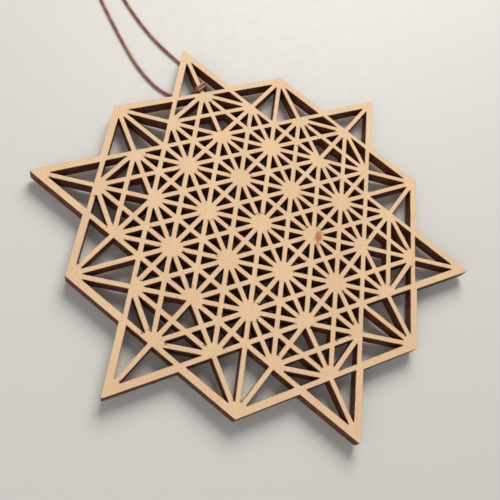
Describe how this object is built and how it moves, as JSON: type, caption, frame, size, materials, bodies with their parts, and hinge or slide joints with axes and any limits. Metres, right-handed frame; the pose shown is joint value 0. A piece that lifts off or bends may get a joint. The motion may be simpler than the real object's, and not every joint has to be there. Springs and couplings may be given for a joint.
{
  "type": "hanging star ornament",
  "caption": "Flat openwork six-pointed star ornament laser cut from thin plywood, with a cord hanging loop hitched round the rib of one tip.",
  "frame": {"origin": "centre of the star, half way through the sheet", "axes": "+Z out of the show face, +Y in the sheet towards the tip that carries the cord, +X to the right seen from the show face"},
  "size_m": [0.0972, 0.1796, 0.0048],
  "materials": {
    "face_wood": "sanded, unfinished pale plywood face",
    "charred_edge": "laser-charred cut edge",
    "cord": "waxed twisted cord"
  },
  "bodies": {
    "panel": {"front_veneer": "face_wood", "core_ply": "charred_edge", "back_veneer": "face_wood"},
    "hanger": {"cord_hitch": "cord", "cord_strand_left": "cord", "cord_strand_right": "cord", "cord_knot": "cord"}
  },
  "joints": [
    {"name": "hanger_slide", "type": "slide", "parent": "panel", "child": "hanger", "axis": [0, 1, 0], "range_m": [0, 0.004]}
  ]
}
